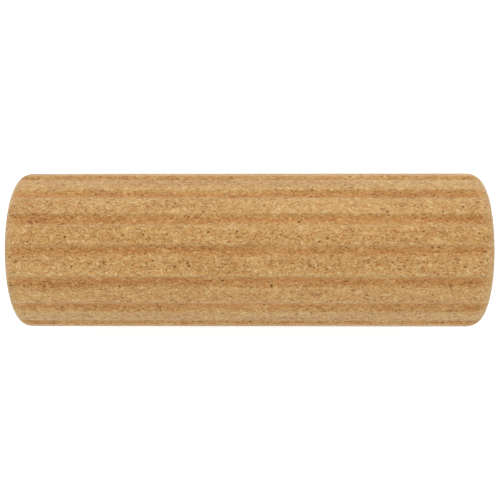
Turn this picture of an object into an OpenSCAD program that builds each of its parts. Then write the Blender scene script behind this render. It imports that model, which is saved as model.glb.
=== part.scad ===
/* [Roller] */
// Length over the two flat ends
roller_l = 300; // [200:10:600]
// Diameter over the ridges
roller_d = 100; // [80:1:160]
// Radius of the rounding around each end
end_round = 8; // [2:0.5:9]

/* [Grooves] */
// Number of grooves, a multiple of four so that the two glued seams lie in grooves
groove_n = 16; // [8:4:20]
// Width of a groove across its mouth
groove_w = 7.8; // [5:0.2:9.6]
// Depth of a groove below the ridges
groove_depth = 2.3; // [1:0.1:3.4]
// Radius that breaks the two edges of each ridge
ridge_edge_r = 0.8; // [0.4:0.1:1.2]

/* [Cork] */
// Thickness of the cork from the ridges in to the bore
cork_wall = 12.4; // [10:0.2:20]
// Thickness of the cork disc that closes each end
disc_t = 9; // [4:0.5:16]
// Chamfer around the outer face of a disc
disc_chamfer = 0.5; // [0.2:0.1:1]

/* [Core] */
// Wall of the core tube
tube_wall = 3.6; // [2:0.1:6]
// Thickness of a plug's flange, which covers the tube's end
flange_t = 3; // [2:0.5:6]
// Length of a plug's skirt inside the tube
skirt_l = 20; // [8:1:40]
// Wall of a plug's skirt
skirt_wall = 2.4; // [1.6:0.2:4]
// Number of stiffening ribs behind a plug's flange
rib_n = 6; // [3:1:8]
// Thickness of a rib
rib_t = 2; // [1.2:0.2:4]

/* [Fits] */
// Glue film between two glued pieces
glue_gap = 0.1; // [0.05:0.05:0.3]
// Radial clearance of a plug's skirt in the tube
skirt_fit = 0.1; // [0.05:0.05:0.3]

/* [Hidden] */
$fn = 96;

cork_colour = "#c8985f";
disc_colour = "#c1905a";
tube_colour = "#dcd9d0";
plug_colour = "#44464a";

roller_r = roller_d / 2;
bore_r = roller_r - cork_wall;
tube_r = bore_r - glue_gap;
disc_r = bore_r - glue_gap;
skirt_r = tube_r - tube_wall - skirt_fit;
tube_l = roller_l - 2 * (disc_t + glue_gap + flange_t);
// the end rounding always leaves a flat ring around the bore
end_r = min(end_round, cork_wall - 2);
pitch_a = 360 / groove_n;

// A groove is a round channel whose centre lies just outside the ridges.
groove_bottom = roller_r - groove_depth;
mouth_a = asin(groove_w / 2 / roller_r);
groove_r = (roller_r * roller_r + groove_bottom * groove_bottom
            - 2 * roller_r * groove_bottom * cos(mouth_a))
           / (2 * (roller_r * cos(mouth_a) - groove_bottom));
groove_c = groove_bottom + groove_r;

// The arc that breaks a ridge's edge touches the ridge from inside and the groove from outside.
edge_c = roller_r - ridge_edge_r;
edge_a = acos((edge_c * edge_c + groove_c * groove_c - pow(groove_r + ridge_edge_r, 2))
              / (2 * edge_c * groove_c));

// With a groove straight down, the roller stands on the edge arcs of two ridges.
axis_z = edge_c * cos(edge_a) + ridge_edge_r;

// how far a cut runs past the faces that it opens
clear = 1;
// how far an edge arc overlaps the two faces that it blends, so that they always meet
hair = 0.0005;

// Turns a profile that was extruded up +Z so that it runs along X, its +Y side up.
module along_x() {
    translate([0, 0, axis_z]) rotate([90, 0, 90]) children();
}

module at_end(side) {
    along_x() translate([0, 0, side * roller_l / 2])
        rotate([0, side > 0 ? 180 : 0, 0]) children();
}

// The section of one groove with its two broken edges, pointing up +Y.
module groove_section() {
    outer = groove_c + groove_r;
    translate([0, groove_c]) circle(groove_r);
    for (side = [-1, 1]) {
        edge = [side * edge_c * sin(edge_a), edge_c * cos(edge_a)];
        difference() {
            polygon([[0, groove_c], edge, edge * outer / edge_c, [0, outer]]);
            translate(edge) circle(ridge_edge_r + hair, $fn = 32);
        }
    }
}

module fluted_section() {
    difference() {
        circle(roller_r);
        circle(bore_r);
        for (i = [0 : groove_n - 1]) rotate(i * pitch_a) groove_section();
    }
}

// Half of the section that the rounded outside of the roller is turned from.
module envelope_half() {
    half_l = roller_l / 2;
    polygon([[0, -half_l], [roller_r - end_r, -half_l], [roller_r, -half_l + end_r],
             [roller_r, half_l - end_r], [roller_r - end_r, half_l], [0, half_l]]);
    for (side = [-1, 1])
        intersection() {
            translate([roller_r - end_r, side * (half_l - end_r)]) circle(end_r);
            translate([roller_r - end_r, side > 0 ? half_l - end_r : -half_l]) square(end_r);
        }
}

module cork_shell(side) {
    color(cork_colour) along_x() intersection() {
        translate([0, 0, -roller_l / 2]) linear_extrude(roller_l) fluted_section();
        rotate_extrude() envelope_half();
        translate([-roller_d, side > 0 ? glue_gap / 2 : -roller_d, -roller_l])
            cube([2 * roller_d, roller_d - glue_gap / 2, 2 * roller_l]);
    }
}

module cork_shell_upper() { cork_shell(1); }

module cork_shell_lower() { cork_shell(-1); }

module core_tube() {
    color(tube_colour) along_x() translate([0, 0, -tube_l / 2])
        difference() {
            cylinder(h = tube_l, r = tube_r);
            translate([0, 0, -clear]) cylinder(h = tube_l + 2 * clear, r = tube_r - tube_wall);
        }
}

// A plug's flange covers the tube's end, and its ribbed skirt presses into the tube.
module end_plug(side) {
    inner_r = skirt_r - skirt_wall;
    color(plug_colour) at_end(side) translate([0, 0, disc_t + glue_gap]) {
        rotate_extrude() polygon([
            [0, 0], [tube_r, 0], [tube_r, flange_t], [skirt_r, flange_t],
            [skirt_r, flange_t + skirt_l - clear], [skirt_r - clear, flange_t + skirt_l],
            [inner_r, flange_t + skirt_l], [inner_r, flange_t], [0, flange_t]]);
        for (i = [0 : rib_n - 1]) rotate(i * 360 / rib_n)
            translate([0, -rib_t / 2, flange_t - clear])
                cube([inner_r + skirt_wall / 2, rib_t, skirt_l / 2 + clear]);
    }
}

module end_plug_left() { end_plug(-1); }

module end_plug_right() { end_plug(1); }

module end_disc(side) {
    color(disc_colour) at_end(side) rotate_extrude() polygon([
        [0, 0], [disc_r - disc_chamfer, 0], [disc_r, disc_chamfer], [disc_r, disc_t], [0, disc_t]]);
}

module end_disc_left() { end_disc(-1); }

module end_disc_right() { end_disc(1); }

cork_shell_upper();
cork_shell_lower();
core_tube();
end_plug_left();
end_plug_right();
end_disc_left();
end_disc_right();
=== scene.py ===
import math
import bpy
import numpy as np
from mathutils import Matrix, Vector


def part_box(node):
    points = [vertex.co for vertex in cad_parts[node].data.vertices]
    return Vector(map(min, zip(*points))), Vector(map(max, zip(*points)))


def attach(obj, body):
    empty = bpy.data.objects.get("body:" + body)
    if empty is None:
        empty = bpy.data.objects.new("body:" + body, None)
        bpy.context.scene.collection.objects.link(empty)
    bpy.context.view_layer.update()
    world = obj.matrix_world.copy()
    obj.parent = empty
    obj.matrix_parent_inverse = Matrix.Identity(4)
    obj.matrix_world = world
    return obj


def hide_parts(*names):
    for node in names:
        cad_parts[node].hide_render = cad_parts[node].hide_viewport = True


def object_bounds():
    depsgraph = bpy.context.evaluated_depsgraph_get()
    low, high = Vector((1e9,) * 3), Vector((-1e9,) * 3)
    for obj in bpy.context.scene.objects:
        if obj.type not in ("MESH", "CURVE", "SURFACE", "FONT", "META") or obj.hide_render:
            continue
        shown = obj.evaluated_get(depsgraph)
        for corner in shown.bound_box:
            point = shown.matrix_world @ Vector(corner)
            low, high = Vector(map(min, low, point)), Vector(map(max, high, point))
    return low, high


# Looks of a fluted cork balance roller. Metres, +X along the roller, +Z up.

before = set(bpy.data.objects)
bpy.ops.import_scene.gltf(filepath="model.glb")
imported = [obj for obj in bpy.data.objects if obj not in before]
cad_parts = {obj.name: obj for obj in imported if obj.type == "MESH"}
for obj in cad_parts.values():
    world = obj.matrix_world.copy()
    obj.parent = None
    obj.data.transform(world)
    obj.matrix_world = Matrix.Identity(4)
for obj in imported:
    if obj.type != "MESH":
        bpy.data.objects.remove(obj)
cadLow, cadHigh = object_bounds()
mm = 0.001

# sizes taken from the frame
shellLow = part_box("cork_shell_upper")[0]
axisHeight = (cadLow.z + cadHigh.z) / 2
halfLength = cadHigh.x


def nodePoints(name):
    # the corners of a CAD node as an array, one row each
    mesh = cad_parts[name].data
    flat = np.empty(len(mesh.vertices) * 3, np.float32)
    mesh.vertices.foreach_get("co", flat)
    return flat.reshape(-1, 3).astype(float)


def fromAxis(points):
    # distance of each point from the roller's axis
    return np.hypot(points[..., 1], points[..., 2] - axisHeight)


sleeveRadii = fromAxis(nodePoints("cork_shell_upper"))
ridgeRadius = sleeveRadii.max()
boreRadius = sleeveRadii.min()
discRadius = fromAxis(nodePoints("end_disc_right")).max()
glueGap = 2 * (shellLow.z - axisHeight)

flutes = {
    "count": 16,              # grooves round the roller, one straight up
    "mouth": 7.8 * mm,        # width of a groove between the ridges
    "depth": 2.3 * mm,        # how far its bottom lies below the ridges
    "brokenEdge": 0.8 * mm,   # radius on the two edges of a ridge
    "endRound": (8 * mm, 9.3 * mm),   # radius of the rounding round the left and right end
    "runOut": 0.9 * mm,       # how softly a groove fades into that rounding
}


def cellNumber(cells, seed):
    # Each whole-number cell gets a number from 0 to 1: its three indices are multiplied by
    # large primes, combined, then scrambled by shifts and two more multiplications.
    h = cells[..., 0] * 73856093 ^ cells[..., 1] * 19349663 ^ cells[..., 2] * 83492791
    h = (h + seed * 974711) & 0xFFFFFFFF
    h = ((h ^ (h >> 15)) * 2246822519) & 0xFFFFFFFF
    h = ((h ^ (h >> 13)) * 3266489917) & 0xFFFFFFFF
    return ((h ^ (h >> 16)) & 0xFFFFFF) / float(0xFFFFFF)


def softNoise(points, size, seed):
    # Value noise: the numbers of a cell's eight corners, blended by the smooth step
    # 3t^2 - 2t^3 along each direction. Size is the cell's side, one number or three.
    p = points / np.asarray(size)
    base = np.floor(p).astype(np.int64)
    t = p - base
    t = t * t * (3 - 2 * t)
    total = 0
    for corner in np.ndindex(2, 2, 2):
        weight = np.prod(np.where(corner, t, 1 - t), axis=-1)
        total = total + weight * cellNumber(base + np.array(corner), seed)
    return total


def cellNoise(points, size, seed):
    # Every cell holds one point at a scrambled place. Gives the distance to the nearest
    # and to the second nearest such point, in cells, and the nearest cell's own number.
    p = points / np.asarray(size)
    base = np.floor(p).astype(np.int64)
    near = np.full(p.shape[:-1], 9.0)
    second = near.copy()
    number = np.zeros_like(near)
    for step in np.ndindex(3, 3, 3):
        cell = base + np.array(step) - 1
        place = np.stack([cellNumber(cell, seed + k) for k in (1, 2, 3)], -1)
        distance = np.linalg.norm(cell + place - p, axis=-1)
        closer = distance < near
        second = np.where(closer, near, np.minimum(second, distance))
        number = np.where(closer, cellNumber(cell, seed), number)
        near = np.where(closer, distance, near)
    return near, second, number


def gridFaces(index):
    # the four corners of each cell of a grid of vertex numbers
    return np.stack([index[:-1, :-1], index[1:, :-1], index[1:, 1:], index[:-1, 1:]],
                    -1).reshape(-1, 4)


def makePiece(name, points, faceGroups, uvGroups, attributes):
    # Puts arrays straight into a mesh. Each face group holds faces of one corner count;
    # its UV group gives a place on the map for each of those corners.
    corners = np.concatenate([g.ravel() for g in faceGroups])
    counts = np.concatenate([np.full(len(g), g.shape[1]) for g in faceGroups])
    starts = np.concatenate([[0], np.cumsum(counts)[:-1]])
    mesh = bpy.data.meshes.new(name)
    mesh.vertices.add(len(points))
    mesh.vertices.foreach_set("co", points.astype(np.float32).ravel())
    mesh.loops.add(len(corners))
    mesh.loops.foreach_set("vertex_index", corners.astype(np.int32))
    mesh.polygons.add(len(counts))
    mesh.polygons.foreach_set("loop_start", starts.astype(np.int32))
    mesh.polygons.foreach_set("use_smooth", np.ones(len(counts), bool))
    layer = mesh.uv_layers.new(name="OFBake")
    layer.data.foreach_set("uv", np.concatenate([g.reshape(-1, 2) for g in uvGroups])
                           .astype(np.float32).ravel())
    for label, values in attributes.items():
        mesh.attributes.new(label, "FLOAT", "POINT").data.foreach_set(
            "value", values.astype(np.float32))
    mesh.update(calc_edges=True)
    mesh.validate()
    piece = bpy.data.objects.new(name, mesh)
    bpy.context.scene.collection.objects.link(piece)
    return piece


def sharpen(piece, degrees):
    # edges that turn by more than this stay crisp under smooth shading
    piece.data.set_sharp_from_angle(angle=math.radians(degrees))


relief = {
    "granule": (3.4 * mm, 1.7 * mm, 1.7 * mm),   # a granule, longest along the roller
    "granuleDepth": 0.07 * mm,                    # the hollow between two granules
    "hollowWidth": 0.16,                          # its width in granules
    "levelStep": 0.4,                             # how unequal granules stand, in those depths
    "bend": 0.5 * mm,                             # how far a granule's outline wanders
    "bendSize": 1.9 * mm,                         # and over what length it does
    "pitSpacing": (6.5 * mm, 4.2 * mm, 4.2 * mm),
    "pitShare": 0.34,                             # share of the places that hold a pit
    "pitRadius": (0.13, 0.16),                    # smallest, and what the largest adds, in spacings
    "pitDepth": 0.55 * mm,
    "waveSize": 17 * mm,                          # long, low unevenness of the sanded cork
    "waveDepth": 0.07 * mm,
}


def corkRelief(points, seed):
    # How far the real surface lies below the true shape, and how much of that is a pit.
    # Three parts add up: low waves, hollows where the distances to the two nearest granules
    # are alike, and a few round pits whose depth falls off as (1 - d^2)^2.
    low = relief["waveDepth"] * softNoise(points, relief["waveSize"], seed)
    wander = softNoise(points, relief["bendSize"], seed + 5)[:, None] - 0.5
    bent = points + relief["bend"] * wander
    near, second, number = cellNoise(bent, relief["granule"], seed + 10)
    hollow = np.exp(-((second - near) / relief["hollowWidth"]) ** 2)
    step = relief["levelStep"] * number
    near, _, number = cellNoise(bent, relief["pitSpacing"], seed + 20)
    smallest, more = relief["pitRadius"]
    size = smallest + more * number / relief["pitShare"]
    pit = np.where(number < relief["pitShare"], np.clip(1 - (near / size) ** 2, 0, 1) ** 2, 0)
    return low + relief["granuleDepth"] * (hollow + step) + relief["pitDepth"] * pit, pit


def flutedRadius(angle):
    # Distance from the axis to the fluted surface at each angle, 0 at the middle of a groove.
    # The groove is a round channel whose centre lies outside the ridges, a small arc breaks
    # each ridge's edge, and the ridge itself is round about the roller's axis.
    corner = flutes["brokenEdge"]
    cornerOut = ridgeRadius - corner        # how far out the centres of the small arcs lie
    pitch = 2 * math.pi / flutes["count"]
    a = np.abs((angle + pitch / 2) % pitch - pitch / 2)
    bottom = ridgeRadius - flutes["depth"]
    lip = ridgeRadius * math.cos(math.asin(flutes["mouth"] / 2 / ridgeRadius))
    channelRadius = (ridgeRadius ** 2 + bottom ** 2 - 2 * bottom * lip) / (2 * (lip - bottom))
    centre = bottom + channelRadius
    reach = channelRadius + corner          # from the channel's centre to a small arc's
    edgeAngle = math.acos((cornerOut ** 2 + centre ** 2 - reach ** 2) / (2 * cornerOut * centre))
    share = channelRadius / reach
    meet = math.atan2(share * cornerOut * math.sin(edgeAngle),
                      centre + share * (cornerOut * math.cos(edgeAngle) - centre))
    inside = channelRadius ** 2 - (centre * np.sin(a)) ** 2
    channel = centre * np.cos(a) - np.sqrt(np.maximum(inside, 0))
    turn = a - edgeAngle
    inside = corner ** 2 - (cornerOut * np.sin(turn)) ** 2
    edge = cornerOut * np.cos(turn) + np.sqrt(np.maximum(inside, 0))
    radius = np.where(a < meet, channel, np.where(a < edgeAngle, edge, ridgeRadius))
    return radius, a, meet, edgeAngle


def fluteAngles(parts):
    # Angles across half the roller, from the bottom of one side groove to the other's,
    # set by arc length: so many steps in each half groove, broken edge and half ridge.
    pitch = 2 * math.pi / flutes["count"]
    meet, edgeAngle = flutedRadius(np.zeros(1))[2:]
    inGroove, onEdge, onRidge = parts
    half = np.concatenate([
        np.linspace(0, meet, inGroove, endpoint=False),
        np.linspace(meet, edgeAngle, onEdge, endpoint=False),
        np.linspace(edgeAngle, pitch / 2, onRidge, endpoint=False)])
    whole = np.concatenate([half, [pitch / 2], pitch - half[:0:-1]])
    turns = flutes["count"] // 2
    angles = np.concatenate([whole + i * pitch for i in range(turns)] + [[turns * pitch]])
    return angles - math.pi / 2


def shellProfile(counts):
    # The outside of the sleeve as it is turned, from the left bore edge to the right one:
    # flat end, quarter round, straight, quarter round, flat end. Also how far each point
    # has turned into a rounding, 0 on the straight and 1 on the flat end.
    flat, arc, straight = counts
    left, right = flutes["endRound"]
    phi = np.linspace(0, math.pi / 2, arc + 1)

    def endProfile(rounding):
        # from the bore's edge to the start of the straight: inward from the end, and radius
        centre = ridgeRadius - rounding
        inward = np.concatenate([np.zeros(flat), rounding * (1 - np.cos(phi))])
        return inward, np.concatenate([np.linspace(boreRadius, centre, flat + 1)[:-1],
                                       centre + rounding * np.sin(phi)])

    leftIn, leftR = endProfile(left)
    rightIn, rightR = endProfile(right)
    turned = np.concatenate([np.ones(flat), np.cos(phi)])
    middle = np.linspace(-halfLength + left, halfLength - right, straight + 1)[1:-1]
    x = np.concatenate([leftIn - halfLength, middle, halfLength - rightIn[::-1]])
    r = np.concatenate([leftR, np.full(len(middle), ridgeRadius), rightR[::-1]])
    turned = np.concatenate([turned, np.zeros(len(middle)), turned[::-1]])
    return x, r, turned


shell = {
    "acrossSteps": (8, 3, 8),      # half groove, broken edge, half ridge
    "alongSteps": (5, 14, 272),    # flat end, rounding, straight
    "boreAcross": 8,               # outer steps to one step across the bore
    "boreAlong": 10,               # outer steps to one step along the bore
    "runOutStart": 3,              # a groove's fading is full a third of the way into a rounding
    "wearAndSheenReach": 0.018,            # how far wear and painted sheen reach from a ridge's edge, in radians
    "endWearAndSheen": 0.8,                # wear and painted sheen on the rounding of an end
    "crisp": 55,                   # degrees from which an edge stays crisp
}

sleeveMap = {
    "margin": 0.01,                # free edge of the map
    "boreEnd": 0.86,               # the bore fills the map up to here
    "stripStart": 0.875,           # the end strips and glue faces follow, a row each
    "stripStep": 0.03,
    "stripHalf": 0.48,             # half a row's length
    "stripScale": 1.2,             # map units to a metre across a row
}


def outerPoints(x, r, turned, angles):
    # The grid of the outside, and how deep each point lies in a groove, 0 to 1. The radius
    # is the lower of the turned profile and the fluted one. Where the two differ by less
    # than k, it is lower still by a quarter of k times the square of their closeness.
    fluted = flutedRadius(angles)[0][None, :]
    turnedR = r[:, None]
    fading = np.clip(turned * shell["runOutStart"], 0, 1)
    k = np.maximum(flutes["runOut"] * fading, 1e-9)[:, None]
    close = np.clip(k - np.abs(turnedR - fluted), 0, None) / k
    radius = np.minimum(turnedR, fluted) - close * close * k / 4
    cut = np.clip((turnedR - fluted) / flutes["depth"], 0, 1)
    limit = np.arccos(np.clip(glueGap / 2 / radius, 0, 1))      # where it meets the glue face
    a = np.clip(angles[None, :], -limit, limit)
    along = np.broadcast_to(x[:, None], radius.shape)
    return np.stack([along, radius * np.sin(a), radius * np.cos(a)], -1), cut


def gridNormals(p):
    # the cross product of a grid's two directions, made one long
    n = np.cross(np.gradient(p, axis=0), np.gradient(p, axis=1))
    return n / np.maximum(np.linalg.norm(n, axis=-1, keepdims=True), 1e-12)


def shellUv(points, groups, x, r, turned, angles, boreShape):
    # The map: the outside laid flat at one scale, the bore squeezed in above it, then the
    # end strips and the glue faces by their place.
    margin = sleeveMap["margin"]
    alongMap = np.concatenate([[0], np.cumsum(np.hypot(np.diff(x[1:-1]), np.diff(r[1:-1])))])
    mid = slice(len(x) // 2, len(x) // 2 + 1)
    section = outerPoints(x[mid], r[mid], turned[mid], angles)[0][0]
    steps = np.linalg.norm(np.diff(section, axis=0), axis=1)
    acrossMap = np.concatenate([[0], np.cumsum(steps)])
    scale = (1 - 2 * margin) / alongMap[-1]
    u, v = np.meshgrid(margin + alongMap * scale, margin + acrossMap * scale, indexing="ij")
    fineUv = np.stack([u, v], -1).reshape(-1, 2)
    boreStart = 2 * margin + acrossMap[-1] * scale
    u, v = np.meshgrid(np.linspace(margin, 1 - margin, boreShape[0]),
                       np.linspace(boreStart, sleeveMap["boreEnd"], boreShape[1]), indexing="ij")
    allUv = np.concatenate([fineUv, np.stack([u, v], -1).reshape(-1, 2)])
    uvGroups = [allUv[g] for g in groups[:2]]
    for i, g in enumerate(groups[2:]):
        where = points[g]
        isEnd = i < 2
        row = i if isEnd else 2 + (i - 2) // 3      # three face groups make one glue face
        share = where[..., 1] / ridgeRadius if isEnd else where[..., 0] / halfLength
        outward = (fromAxis(where) - boreRadius) * sleeveMap["stripScale"]
        uvGroups.append(np.stack([0.5 + share * sleeveMap["stripHalf"],
                                  sleeveMap["stripStart"] + row * sleeveMap["stripStep"]
                                  + outward], -1))
    return uvGroups


def corkShell(name, half, seed):
    # One closed half sleeve. The fine outside meets the coarse bore in strips whose faces
    # have one bore edge and many outer edges. Half is 1 above the glue line, -1 below.
    x, r, turned = shellProfile(shell["alongSteps"])
    angles = fluteAngles(shell["acrossSteps"])
    kAcross, kAlong = shell["boreAcross"], shell["boreAlong"]
    p, cut = outerPoints(x, r, turned, angles)
    normal = gridNormals(p)
    place = (p * [1, half, half] + [0, 0, axisHeight]).reshape(-1, 3)
    depth, pit = corkRelief(place, seed)
    depth = depth.reshape(p.shape[:2])
    p = (p - normal * depth[..., None]) * [1, half, half] + [0, 0, axisHeight]
    fine = p[1:-1]
    rows, columns = fine.shape[:2]

    boreX = np.linspace(-halfLength, halfLength, (rows + 1) // kAlong + 1)
    boreA = np.linspace(-1, 1, (columns - 1) // kAcross + 1) * math.acos(glueGap / 2 / boreRadius)
    bx, ba = np.meshgrid(boreX, boreA, indexing="ij")
    bore = np.stack([bx, half * boreRadius * np.sin(ba),
                     axisHeight + half * boreRadius * np.cos(ba)], -1)
    fineIndex = np.arange(rows * columns).reshape(rows, columns)
    boreIndex = rows * columns + np.arange(bx.size).reshape(bx.shape)

    def fan(fineRow, coarseRow, k):
        # faces between k fine edges and one coarse edge
        runs = np.stack([fineRow[i:len(fineRow) - k + i:k] for i in range(k + 1)], 1)
        return np.column_stack([runs, coarseRow[1:], coarseRow[:-1]])

    def glueFace(column, coarse):
        # the flat face in the glue plane: its first and last faces take in the end of the bore
        inner = fan(column[kAlong - 1:len(column) - kAlong + 1], coarse[1:-1], kAlong)
        first = np.concatenate([column[:kAlong], [coarse[1], coarse[0]]])[None]
        last = np.concatenate([column[-kAlong:], [coarse[-1], coarse[-2]]])[None]
        return [inner, first, last]

    groups = [gridFaces(fineIndex), gridFaces(boreIndex)[:, ::-1]]
    groups += [fan(fineIndex[0], boreIndex[0], kAcross),
               fan(fineIndex[-1], boreIndex[-1], kAcross)[:, ::-1]]
    groups += glueFace(fineIndex[:, -1], boreIndex[:, -1])
    groups += [g[:, ::-1] for g in glueFace(fineIndex[:, 0], boreIndex[:, 0])]
    points = np.concatenate([fine.reshape(-1, 3), bore.reshape(-1, 3)])
    uvGroups = shellUv(points, groups, x, r, turned, angles, bx.shape)

    # wear and painted sheen fall off as a bell curve of the angle from a ridge's edge
    zeros = np.zeros(bx.size)
    _, fromGroove, _, edgeAngle = flutedRadius(angles)
    edge = np.exp(-((fromGroove - edgeAngle) / shell["wearAndSheenReach"]) ** 2)[None, :] * (1 - cut)
    onEnd = np.sin(np.clip(turned, 0, 1) * math.pi)[:, None] * shell["endWearAndSheen"]
    edge = np.maximum(edge, onEnd)
    attributes = {
        "groove": np.concatenate([cut[1:-1].ravel(), zeros]),
        "wear": np.concatenate([edge[1:-1].ravel(), zeros]),
        "pit": np.concatenate([pit.reshape(cut.shape)[1:-1].ravel(), zeros]),
    }
    piece = makePiece(name, points, groups, uvGroups, attributes)
    sharpen(piece, shell["crisp"])
    return piece


disc = {
    "rings": 62,
    "spokes": 240,
    "chamfer": 0.5 * mm,
    "turningStep": 1.1 * mm,     # from one turning mark to the next
    "turningDepth": 0.03 * mm,
    "poleSink": 0.05 * mm,       # how far the face's middle point lies in
    "wearWidth": 0.8 * mm,       # how far wear and painted sheen reach beside the chamfer
    "backRing": 0.5,             # place of the back's one ring, as a share of the radius
    "crisp": 35,                 # degrees from which an edge stays crisp
    "mapFace": 0.40,             # the face's radius on the map
    "mapRim": 8,                 # map units to a metre of the rim's depth
    "mapBack": 0.48,             # the back's radius on the map
}


def corkDisc(name, side, low, high, seed):
    # A closed disc: its face is rings about a pole, then a chamfer, the rim and a coarse back.
    # The face carries the cork's relief and faint turning marks, a cosine of the radius.
    face = high.x if side > 0 else low.x
    back = low.x if side > 0 else high.x
    c = disc["chamfer"]
    r = np.concatenate([np.linspace(0, discRadius - c, disc["rings"])[1:],
                        [discRadius - c / 2, discRadius, discRadius,
                         discRadius * disc["backRing"]]])
    x = np.concatenate([np.full(disc["rings"] - 1, face),
                        [face - side * c / 2, face - side * c, back, back]])
    a = np.arange(disc["spokes"]) * 2 * math.pi / disc["spokes"]
    ring, angle = np.meshgrid(r, a, indexing="ij")
    p = np.stack([np.broadcast_to(x[:, None], ring.shape), ring * np.sin(angle),
                  axisHeight + ring * np.cos(angle)], -1)
    depth, pit = corkRelief(p.reshape(-1, 3), seed)
    marks = disc["turningDepth"] * (0.5 + 0.5 * np.cos(ring.ravel() * 2 * math.pi
                                                       / disc["turningStep"]))
    onFace = np.zeros(ring.shape)
    onFace[:disc["rings"]] = 1
    depth = (depth + marks).reshape(ring.shape) * onFace
    p[..., 0] -= side * depth
    middle = np.array([[face, 0, axisHeight], [back, 0, axisHeight]])
    middle[0, 0] -= side * disc["poleSink"]
    points = np.concatenate([p.reshape(-1, 3), middle])
    index = np.arange(ring.size).reshape(ring.shape)
    index = np.column_stack([index, index[:, 0]])
    fans = [np.stack([np.full(len(a), ring.size), index[0, 1:], index[0, :-1]], 1),
            np.stack([np.full(len(a), ring.size + 1), index[-1, :-1], index[-1, 1:]], 1)]
    groups = [gridFaces(index)[:, ::-1], *fans]
    if side < 0:
        groups = [g[:, ::-1] for g in groups]
    # The map: the face in the middle with the chamfer and rim round it, and the back laid
    # over them at its own scale.
    flat = points[:, 1:] - [0, axisHeight]
    away = np.abs(points[:, 0] - face)[:, None]
    isBack = away > abs(face - back) / 2
    radius = np.where(isBack, disc["mapBack"], disc["mapFace"] + disc["mapRim"] * away)
    allUv = 0.5 + flat / discRadius * radius
    wear = np.exp(-((ring - discRadius + c) / disc["wearWidth"]) ** 2) * onFace
    zeros = np.zeros(2)
    attributes = {
        "groove": np.zeros(len(points)),
        "wear": np.concatenate([wear.ravel(), zeros]),
        "pit": np.concatenate([pit * onFace.ravel(), zeros]),
    }
    piece = makePiece(name, points, groups, [allUv[g] for g in groups], attributes)
    sharpen(piece, disc["crisp"])
    return piece


def srgb(red, green, blue):
    # a screen colour from 0 to 255 as linear light
    c = np.array([red, green, blue]) / 255
    c = np.where(c <= 0.04045, c / 12.92, ((c + 0.055) / 1.055) ** 2.4)
    return (*c.tolist(), 1.0)


def fill(tree, node, inputs):
    # links or sets the inputs that are named or numbered
    for key, value in inputs.items():
        if isinstance(value, bpy.types.NodeSocket):
            tree.links.new(value, node.inputs[key])
        else:
            node.inputs[key].default_value = value


def put(tree, kind, inputs, **settings):
    # adds a node, sets it up, then fills its inputs
    node = tree.nodes.new("ShaderNode" + kind)
    for key, value in settings.items():
        setattr(node, key, value)
    fill(tree, node, inputs)
    return node


def calc(tree, operation, a, b=0.0, c=0.0, clamp=False):
    return put(tree, "Math", {0: a, 1: b, 2: c}, operation=operation, use_clamp=clamp).outputs[0]


def blendColour(tree, share, a, b, mode="MIX"):
    node = put(tree, "Mix", {0: share, 6: a, 7: b}, data_type="RGBA", blend_type=mode)
    return node.outputs[2]


def remap(tree, value, low, high, outLow=0.0, outHigh=1.0, smooth=True):
    node = put(tree, "MapRange", {0: value, 1: low, 2: high, 3: outLow, 4: outHigh},
               interpolation_type="SMOOTHSTEP" if smooth else "LINEAR")
    return node.outputs[0]


def ramp(tree, value, stops):
    # a colour ramp from (place, colour) pairs
    node = put(tree, "ValToRGB", {0: value})
    elements = node.color_ramp.elements
    while len(elements) < len(stops):
        elements.new(0.5)
    for element, (place, colour) in zip(elements, stops):
        element.position = place
        element.color = colour
    return node.outputs[0]


def newGroup(name, inputs, outputs):
    # an empty shader node group; inputs are (name, kind, value) and outputs (name, kind)
    tree = bpy.data.node_groups.new(name, "ShaderNodeTree")
    for label, kind, value in inputs:
        socket = tree.interface.new_socket(label, in_out="INPUT", socket_type="NodeSocket" + kind)
        if value is not None:
            socket.default_value = value
    for label, kind in outputs:
        tree.interface.new_socket(label, in_out="OUTPUT", socket_type="NodeSocket" + kind)
    start = tree.nodes.new("NodeGroupInput")
    end = tree.nodes.new("NodeGroupOutput")
    return tree, start.outputs, end.inputs


def useGroup(tree, group, inputs):
    return put(tree, "Group", inputs, node_tree=group).outputs


def newMaterial(name):
    # an empty material and its node tree
    material = bpy.data.materials.new(name)
    material.use_nodes = True
    material.node_tree.nodes.clear()
    return material, material.node_tree


def addUp(tree, total, parts):
    # the total plus every part times its weight
    for part, weight in parts:
        total = calc(tree, "MULTIPLY_ADD", part, weight, total)
    return total


def cover(tree, colour, over, mask, share):
    # lays a second colour over the first where the mask is, up to this share
    return blendColour(tree, calc(tree, "MULTIPLY", mask, share), colour, over)


def stretched(tree, vector, length, width):
    # the vector counted in cells that are this long along X and this wide across
    over = put(tree, "CombineXYZ", {0: length, 1: width, 2: width}).outputs[0]
    return put(tree, "VectorMath", {0: vector, 1: over}, operation="DIVIDE").outputs[0]


def shifted(tree, vector, size, amount, detail=1.0):
    # the vector moved about by a soft noise of this size, up to half the amount either way
    wide = put(tree, "VectorMath", {0: vector, "Scale": 1 / size}, operation="SCALE").outputs[0]
    noise = put(tree, "TexNoise", {"Vector": wide, "Scale": 1.0, "Detail": detail}).outputs["Color"]
    push = put(tree, "VectorMath", {0: noise, 1: (0.5, 0.5, 0.5)}, operation="SUBTRACT").outputs[0]
    push = put(tree, "VectorMath", {0: push, "Scale": amount}, operation="SCALE").outputs[0]
    return put(tree, "VectorMath", {0: vector, 1: push}, operation="ADD").outputs[0]


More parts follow.
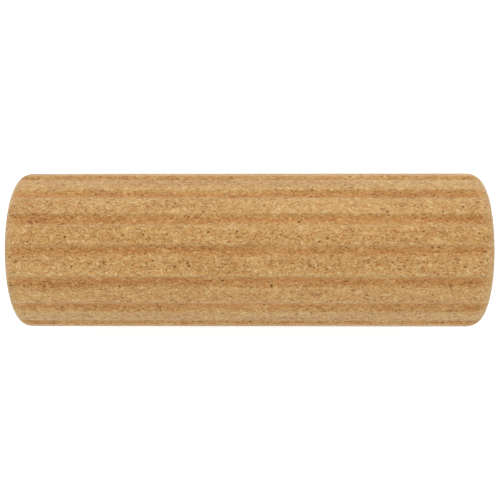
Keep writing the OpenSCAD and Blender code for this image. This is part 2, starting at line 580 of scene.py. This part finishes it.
def granuleGroup():
    # Granules pressed together: two tones of its own for each, and the thin gap between two,
    # which comes and goes. Bend turns their long sides away from X here and there.
    tree, given, out = newGroup("granules", [
        ("Vector", "Vector", None), ("Length", "Float", 0.002), ("Width", "Float", 0.001),
        ("Bend", "Float", 0.003), ("Ragged", "Float", 0.35), ("Gap", "Float", 0.08)],
        [("Tone", "Float"), ("Second Tone", "Float"), ("Gap Mask", "Float")])
    turned = shifted(tree, given["Vector"], 4.5 * mm, given["Bend"])
    cells = stretched(tree, turned, given["Length"], given["Width"])
    bent = shifted(tree, cells, 0.6, given["Ragged"], 2.0)
    colour = put(tree, "TexVoronoi", {"Vector": bent, "Scale": 1.0}).outputs["Color"]
    parts = put(tree, "SeparateColor", {0: colour}).outputs
    border = put(tree, "TexVoronoi", {"Vector": bent, "Scale": 1.0}, feature="DISTANCE_TO_EDGE")
    gap = remap(tree, border.outputs[0], 0.0, given["Gap"], 1.0, 0.0)
    broken = put(tree, "TexNoise", {"Vector": cells, "Scale": 0.8, "Detail": 1.0}).outputs[0]
    gap = calc(tree, "MULTIPLY", gap, remap(tree, broken, 0.42, 0.60, 0.15, 1.0))
    tree.links.new(parts[0], out["Tone"])
    tree.links.new(parts[1], out["Second Tone"])
    tree.links.new(gap, out["Gap Mask"])
    return tree


def fleckGroup():
    # Sparse flecks: only a share of the cells holds one. Each has its own size, from 0.45 to
    # 1.25 times the one given, and fades over the outer quarter.
    tree, given, out = newGroup("flecks", [
        ("Vector", "Vector", None), ("Length", "Float", 0.006), ("Width", "Float", 0.003),
        ("Share", "Float", 0.3), ("Size", "Float", 0.2)],
        [("Mask", "Float")])
    cells = stretched(tree, given["Vector"], given["Length"], given["Width"])
    bent = shifted(tree, cells, 0.12, 0.40, 2.0)
    voronoi = put(tree, "TexVoronoi", {"Vector": bent, "Scale": 1.0}).outputs
    parts = put(tree, "SeparateColor", {0: voronoi["Color"]}).outputs
    size = calc(tree, "MULTIPLY", given["Size"], remap(tree, parts[1], 0, 1, 0.45, 1.25, False))
    inner = calc(tree, "MULTIPLY", size, 0.75)
    spot = put(tree, "MapRange", {0: voronoi["Distance"], 1: inner, 2: size, 3: 1.0, 4: 0.0},
               interpolation_type="SMOOTHSTEP").outputs[0]
    chosen = calc(tree, "LESS_THAN", parts[0], given["Share"])
    tree.links.new(calc(tree, "MULTIPLY", spot, chosen), out["Mask"])
    return tree


def grainGroup():
    # Cloudy streaks, longer along X than across, from 0 to 1 about a half.
    tree, given, out = newGroup("grain", [
        ("Vector", "Vector", None), ("Length", "Float", 0.04), ("Width", "Float", 0.003),
        ("Detail", "Float", 3.0)], [("Value", "Float")])
    cells = stretched(tree, given["Vector"], given["Length"], given["Width"])
    noise = put(tree, "TexNoise", {"Vector": cells, "Scale": 1.0, "Detail": given["Detail"],
                                   "Roughness": 0.55}).outputs[0]
    tree.links.new(remap(tree, noise, 0.25, 0.75, 0.0, 1.0, False), out["Value"])
    return tree


def edgeWearAndSheenGroup():
    # Wear and painted sheen on proud edges: the edge value broken up by noise, so that it comes in
    # patches.
    tree, given, out = newGroup("edgeWearAndSheen", [
        ("Edge", "Float", 0.0), ("Vector", "Vector", None), ("Patch", "Float", 0.006)],
        [("Mask", "Float")])
    cells = stretched(tree, given["Vector"], given["Patch"], given["Patch"])
    noise = put(tree, "TexNoise", {"Vector": cells, "Scale": 1.0, "Detail": 4.0}).outputs[0]
    patch = remap(tree, noise, 0.35, 0.65)
    tree.links.new(calc(tree, "MULTIPLY", given["Edge"], patch), out["Mask"])
    return tree


def mouldGroup():
    # The fine, even texture of a plastic surface, and the scuffs it picks up.
    tree, given, out = newGroup("mouldTexture", [
        ("Vector", "Vector", None), ("Grain", "Float", 0.0005), ("Scuff", "Float", 0.02)],
        [("Height", "Float"), ("Scuff Mask", "Float")])
    fine = stretched(tree, given["Vector"], given["Grain"], given["Grain"])
    noise = put(tree, "TexNoise", {"Vector": fine, "Scale": 1.0, "Detail": 2.0}).outputs[0]
    wide = stretched(tree, given["Vector"], given["Scuff"], given["Scuff"])
    scuff = put(tree, "TexNoise", {"Vector": wide, "Scale": 1.0, "Detail": 6.0,
                                   "Roughness": 0.65}).outputs[0]
    tree.links.new(noise, out["Height"])
    tree.links.new(remap(tree, scuff, 0.45, 0.75), out["Scuff Mask"])
    return tree


granules = granuleGroup()
flecks = fleckGroup()
grain = grainGroup()
edgeWearAndSheen = edgeWearAndSheenGroup()
mouldTexture = mouldGroup()


cork = {
    "darkest": srgb(132, 74, 20),
    "brown": srgb(167, 116, 57),
    "honey": srgb(188, 144, 83),
    "tan": srgb(198, 156, 94),
    "straw": srgb(208, 170, 111),
    "palest": srgb(225, 195, 146),
    # pale colour of the proud edges: partly wear, partly a painted sheen
    "worn": srgb(216, 187, 146),
    "orange": srgb(194, 127, 62),
    "bark": srgb(102, 50, 0),
    "fleck": srgb(234, 203, 153),
    # painted shade: multiplies the colour towards the bottom of each groove, darker and redder, like
    # the shade and bounced cork light inside a groove
    "grooveShadeTint": (0.93, 0.785, 0.65, 1.0),
    "glueLine": srgb(120, 76, 40),
    # places of the colours on the scale of tones
    "tones": [(0.0, "darkest"), (0.16, "brown"), (0.36, "honey"), (0.50, "tan"),
              (0.70, "straw"), (1.0, "palest")],
    "reddishFrom": (0.62, 0.90),     # second tones over which a granule turns reddish
    "paleBelow": (0.035, 0.055),     # and under which it is pale
    # larger granules and the small ones between them: size, turn of the long side, ragged
    # outline and width of the gap
    "coarse": {"Length": 2.3 * mm, "Width": 1.05 * mm, "Bend": 4.5 * mm, "Ragged": 0.5,
               "Gap": 0.20},
    "fine": {"Length": 0.85 * mm, "Width": 0.50 * mm, "Bend": 3.0 * mm, "Ragged": 0.5,
             "Gap": 0.14},
    "streak": {"Length": 30 * mm, "Width": 2.2 * mm, "Detail": 3.0},
    "cloud": {"Length": 16 * mm, "Width": 8 * mm, "Detail": 2.0},
    "drift": {"Length": 110 * mm, "Width": 10 * mm, "Detail": 1.0},
    "crumb": {"Length": 3.2 * mm, "Width": 1.8 * mm, "Share": 0.46, "Size": 0.23},
    "speck": {"Length": 4.2 * mm, "Width": 3.0 * mm, "Share": 0.46, "Size": 0.19},
    "wearAndSheenPatch": 7 * mm,
    "fuzzScale": 2600.0,             # grains of the finest unevenness to a metre
    "grooveShadePower": 2.0,                 # a higher one keeps the painted groove shade to its bottom
    "grooveShadeUneven": (1.25, 0.75),       # how the painted groove shade goes with the streaks
    # what each part adds to the tone and to the height
    "toneOf": {"fine": 0.50, "coarse": 0.24, "streak": 0.15, "cloud": 0.11, "drift": 0.17},
    "toneOfGap": {"fine": -0.10, "coarse": -0.30},
    "heightOf": {"fine": 0.30, "coarse": 0.25, "coarseGap": -0.40, "fineGap": -0.25,
                 "speck": -0.4, "crumb": -0.25, "fuzz": 0.22},
    "relief": {"Strength": 0.9, "Distance": 0.22 * mm},
    # how fully each covers the cork under it
    "coverOf": {"orange": 0.42, "fleck": 0.36, "crumb": 0.64, "speck": 0.97, "pit": 0.55,
                "worn": 0.06, "glueLine": 0.75},
    "roughness": 0.48,
    "roughnessOf": {"fine": 0.14, "speck": 0.25, "worn": -0.06},
    "surface": {"IOR": 1.42, "Specular IOR Level": 0.25, "Sheen Weight": 0.24,
                "Sheen Roughness": 0.6, "Sheen Tint": (0.94, 1.0, 0.82, 1.0)},
}


def corkMaterial(name, shift, seamHalf=0.0):
    # Agglomerated cork. Shift moves the pattern, so that two pieces don't carry on in each
    # other. SeamHalf is half the width of the darker glue line in the plane of the axis.
    material, tree = newMaterial(name)
    place = put(tree, "TexCoord", {}).outputs["Object"]
    moved = put(tree, "Mapping", {"Vector": place, "Location": shift}).outputs[0]
    groove, wear, pit = [put(tree, "Attribute", {}, attribute_name=label).outputs["Fac"]
                         for label in ("groove", "wear", "pit")]

    def pattern(group, label):
        return useGroup(tree, group, {"Vector": moved, **cork[label]})

    coarse = pattern(granules, "coarse")
    fine = pattern(granules, "fine")
    streak, cloud, drift = [pattern(grain, label)["Value"] for label in ("streak", "cloud", "drift")]
    crumb = pattern(flecks, "crumb")["Mask"]
    speck = pattern(flecks, "speck")["Mask"]
    covers = cork["coverOf"]

    # one tone from 0 to 1 about a half, each part by its weight
    parts = {"fine": fine["Tone"], "coarse": coarse["Tone"], "streak": streak, "cloud": cloud,
             "drift": drift}
    weights = cork["toneOf"]
    tone = addUp(tree, 0.5 - sum(weights.values()) / 2,
                 [(parts[label], weights[label]) for label in parts])
    tone = addUp(tree, tone, [(coarse["Gap Mask"], cork["toneOfGap"]["coarse"]),
                              (fine["Gap Mask"], cork["toneOfGap"]["fine"])])
    colour = ramp(tree, tone, [(at, cork[label]) for at, label in cork["tones"]])

    # some granules are reddish and a few pale, with crumbs of brown cork and specks of bark
    reddish = remap(tree, coarse["Second Tone"], *cork["reddishFrom"], 0.0, covers["orange"])
    pale = remap(tree, coarse["Second Tone"], *cork["paleBelow"], covers["fleck"], 0.0)
    colour = blendColour(tree, reddish, colour, cork["orange"])
    colour = blendColour(tree, pale, colour, cork["fleck"])
    colour = cover(tree, colour, cork["darkest"], crumb, covers["crumb"])
    colour = cover(tree, colour, cork["bark"], speck, covers["speck"])
    colour = cover(tree, colour, cork["bark"], pit, covers["pit"])

    # painted shade: the cork is darker and redder towards the bottom of each groove, unevenly so
    # along the streaks; the proud edges a little paler, partly wear and partly a painted sheen
    shadedInGroove = blendColour(tree, 1.0, colour, cork["grooveShadeTint"], "MULTIPLY")
    grooveShadeShare = calc(tree, "MULTIPLY", calc(tree, "POWER", groove, cork["grooveShadePower"]),
                    remap(tree, streak, 0.0, 1.0, *cork["grooveShadeUneven"]))
    colour = blendColour(tree, grooveShadeShare, colour, shadedInGroove)
    # paler proud edges: partly wear, partly a painted sheen
    worn = useGroup(tree, edgeWearAndSheen, {"Edge": wear, "Vector": moved,
                                     "Patch": cork["wearAndSheenPatch"]})["Mask"]
    colour = cover(tree, colour, cork["worn"], worn, covers["worn"])
    if seamHalf:
        level = put(tree, "SeparateXYZ", {0: place}).outputs[2]
        away = calc(tree, "ABSOLUTE", calc(tree, "SUBTRACT", level, axisHeight))
        seam = remap(tree, away, seamHalf / 2, seamHalf, covers["glueLine"], 0.0)
        colour = blendColour(tree, seam, colour, cork["glueLine"])

    # height: granules stand at their own levels, and gaps, crumbs and bark sink
    fuzz = put(tree, "TexNoise", {"Vector": moved, "Scale": cork["fuzzScale"],
                                  "Detail": 3.0}).outputs[0]
    parts = {"fine": fine["Tone"], "coarse": coarse["Second Tone"],
             "coarseGap": coarse["Gap Mask"], "fineGap": fine["Gap Mask"], "speck": speck,
             "crumb": crumb, "fuzz": fuzz}
    height = addUp(tree, 0.5, [(parts[label], cork["heightOf"][label]) for label in parts])
    bump = put(tree, "Bump", {"Height": height, **cork["relief"]})
    weights = cork["roughnessOf"]
    rough = addUp(tree, cork["roughness"], [(fine["Second Tone"], weights["fine"]),
                                            (speck, weights["speck"]), (worn, weights["worn"])])
    shader = put(tree, "BsdfPrincipled", {"Base Color": colour, "Roughness": rough,
                                          "Normal": bump.outputs[0], **cork["surface"]})
    put(tree, "OutputMaterial", {"Surface": shader.outputs[0]})
    return material


core = {
    "tube": srgb(222, 219, 208),
    "tubeDusty": srgb(198, 190, 172),
    "plug": srgb(70, 72, 76),
    "plugScuff": srgb(112, 113, 116),
    "tubeRough": 0.42,
    "plugRough": 0.5,
    "scuffRough": 0.18,          # what a scuff adds to the roughness
    "scuffShade": 0.5,           # how far a scuff and a line change the colour
    "lineShade": 0.12,
    "drawnDepth": 0.6,           # height of the lines beside the fine texture
    "mouldedDepth": 0.2,
    "mould": {"Grain": 0.6 * mm, "Scuff": 18 * mm},
    "drawnLine": 250 * mm,       # length of the lines a die leaves along the tube
    "mouldedGrain": 1.2 * mm,    # length of the grain of a moulded plug
    "lineWidth": 0.9 * mm,
    "relief": {"Strength": 0.25, "Distance": 0.08 * mm},
}


def plasticMaterial(name, base, marked, drawn, rough):
    # Plastic with a fine surface and scuffs. Drawn is true for a tube, whose lines run
    # along X as it left the die; false for a moulded piece with an even grain.
    material, tree = newMaterial(name)
    place = put(tree, "TexCoord", {}).outputs["Object"]
    mould = useGroup(tree, mouldTexture, {"Vector": place, **core["mould"]})
    length = core["drawnLine"] if drawn else core["mouldedGrain"]
    depth = core["drawnDepth"] if drawn else core["mouldedDepth"]
    lines = useGroup(tree, grain, {"Vector": place, "Length": length,
                                   "Width": core["lineWidth"], "Detail": 2.0})["Value"]
    share = addUp(tree, 0.0, [(lines, core["lineShade"]),
                              (mould["Scuff Mask"], core["scuffShade"])])
    colour = blendColour(tree, share, base, marked)
    roughness = addUp(tree, rough, [(mould["Scuff Mask"], core["scuffRough"])])
    height = addUp(tree, mould["Height"], [(lines, depth)])
    bump = put(tree, "Bump", {"Height": height, **core["relief"]})
    shader = put(tree, "BsdfPrincipled", {"Base Color": colour, "Roughness": roughness,
                                          "Normal": bump.outputs[0], "IOR": 1.5})
    put(tree, "OutputMaterial", {"Surface": shader.outputs[0]})
    return material


def dress(node, material):
    # gives a CAD node its material and leaves its mesh alone
    node.data.materials.clear()
    node.data.materials.append(material)


upper = corkShell("corkShellUpper", 1, 3)
lower = corkShell("corkShellLower", -1, 57)
print("cork half sleeves:", len(upper.data.polygons), "faces each")
discLeft = corkDisc("corkDiscLeft", -1, *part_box("end_disc_left"), 111)
discRight = corkDisc("corkDiscRight", 1, *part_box("end_disc_right"), 173)
print("end discs:", len(discLeft.data.polygons), "faces each")

glueHalfWidth = 0.35 * mm
corkPieces = [
    (upper, "cork_shell_upper", corkMaterial("corkUpper", (0.0, 0.0, 0.0), glueHalfWidth)),
    (lower, "cork_shell_lower", corkMaterial("corkLower", (0.113, 0.041, 0.027), glueHalfWidth)),
    (discLeft, "end_disc_left", corkMaterial("corkDiscLeft", (0.3, 0.15, 0.07))),
    (discRight, "end_disc_right", corkMaterial("corkDiscRight", (0.5, 0.25, 0.19))),
]
for piece, node, material in corkPieces:
    piece.data.materials.append(material)
    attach(piece, "root")
    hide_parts(node)
print("cork materials in place")

dress(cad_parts["core_tube"],
      plasticMaterial("tubePlastic", core["tube"], core["tubeDusty"], True,
                      core["tubeRough"]))
plugPlastic = plasticMaterial("plugPlastic", core["plug"], core["plugScuff"], False,
                              core["plugRough"])
for name in ("end_plug_left", "end_plug_right"):
    dress(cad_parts[name], plugPlastic)
print("core materials in place")

stage = {
    "floorHalf": 2.5,          # half the floor's side
    "floorColour": (0.76, 0.76, 0.76, 1.0),
    "floorLift": 0.48,         # extra white for the camera and reflections, under the shadow
    "skyWhite": 0.90,          # how strongly the surroundings light the object from above
    "skySides": 0.29,          # and how much more from the two sides, along Y
    "nearLamp": 0.35,          # watts of the lamp in front of the roller, on the -Y side
    "nearTurn": 75,            # degrees it stands above the roller
    "farLamp": 1.05,           # and the same for the lamp behind it
    "farTurn": 30,
    "lampAlong": 0.05,         # how far both stand to the right of the roller's middle
    "lampAway": 0.75,          # from the roller's axis
    "lampSize": (0.5, 0.35),   # along the roller and across
}


def seenBackground(tree):
    # 1 for rays from the camera, off a shiny surface or through glass
    path = put(tree, "LightPath", {}).outputs
    share = calc(tree, "MAXIMUM", path["Is Camera Ray"], path["Is Glossy Ray"])
    return calc(tree, "MAXIMUM", share, path["Is Transmission Ray"])


def makeFloor():
    half = stage["floorHalf"]
    mesh = bpy.data.meshes.new("floor")
    mesh.from_pydata([(-half, -half, 0), (half, -half, 0), (half, half, 0), (-half, half, 0)],
                     [], [(0, 1, 2, 3)])
    floor = bpy.data.objects.new("floor", mesh)
    bpy.context.scene.collection.objects.link(floor)
    material, tree = newMaterial("paleFloor")
    matt = put(tree, "BsdfDiffuse", {"Color": stage["floorColour"]}).outputs[0]
    lift = calc(tree, "MULTIPLY", seenBackground(tree), stage["floorLift"])
    glow = put(tree, "Emission", {"Color": (1, 1, 1, 1), "Strength": lift}).outputs[0]
    both = put(tree, "AddShader", {0: matt, 1: glow}).outputs[0]
    put(tree, "OutputMaterial", {"Surface": both})
    mesh.materials.append(material)


def makeWorld():
    world = bpy.data.worlds.new("softWhite")
    bpy.context.scene.world = world
    world.use_nodes = True
    tree = world.node_tree
    tree.nodes.clear()
    # the light grows with the square of the direction's Y, as between two large white walls
    across = put(tree, "SeparateXYZ", {0: put(tree, "TexCoord", {}).outputs["Generated"]}).outputs[1]
    light = calc(tree, "MULTIPLY", across, across)
    light = calc(tree, "MULTIPLY_ADD", light, stage["skySides"], stage["skyWhite"])
    seen = seenBackground(tree)
    strength = put(tree, "Mix", {0: seen, 2: light, 3: 1.0}).outputs[0]
    white = put(tree, "Background", {"Color": (1, 1, 1, 1), "Strength": strength}).outputs[0]
    put(tree, "OutputWorld", {"Surface": white})


def softbox(name, side, degrees, watts):
    # a wide soft lamp on one side of the roller, aimed at its middle
    lamp = bpy.data.lights.new(name, "AREA")
    lamp.shape = "RECTANGLE"
    lamp.size, lamp.size_y = stage["lampSize"]
    lamp.energy = watts
    holder = bpy.data.objects.new(name, lamp)
    turn = math.radians(degrees)
    middle = Vector((stage["lampAlong"], 0, axisHeight))
    away = Vector((0, side * math.cos(turn), math.sin(turn))) * stage["lampAway"]
    holder.location = middle + away
    holder.rotation_euler = (-away).to_track_quat("-Z", "Y").to_euler()
    bpy.context.scene.collection.objects.link(holder)


camera = {
    "away": 0.625,              # from the lens to the roller's axis
    "side": 0.0085,             # how far the lens stands off the middle, along X
    "ahead": 0.0065,            # and along Y
    "lens": 68.56,              # millimetres
    "sensor": 36,
    "nearest": 0.01,            # nothing closer than this is drawn
}


def makeCamera():
    # straight above the roller, which lies across the picture
    data = bpy.data.cameras.new("camera")
    data.sensor_width = camera["sensor"]
    data.lens = camera["lens"]
    data.clip_start = camera["nearest"]
    holder = bpy.data.objects.new("camera", data)
    place = Vector((camera["side"], camera["ahead"], axisHeight + camera["away"]))
    holder.location = place
    back = (place - Vector((0, 0, axisHeight))).normalized()
    right = (Vector((1, 0, 0)) - back * back.x).normalized()
    turn = Matrix((right, back.cross(right), back)).transposed()
    holder.rotation_euler = turn.to_euler()
    bpy.context.scene.collection.objects.link(holder)
    bpy.context.scene.camera = holder


makeFloor()
makeWorld()
softbox("nearSoftbox", -1, stage["nearTurn"], stage["nearLamp"])
softbox("farSoftbox", 1, stage["farTurn"], stage["farLamp"])
makeCamera()
bpy.context.scene.view_settings.view_transform = "Standard"
print("stage, lamps and camera in place")
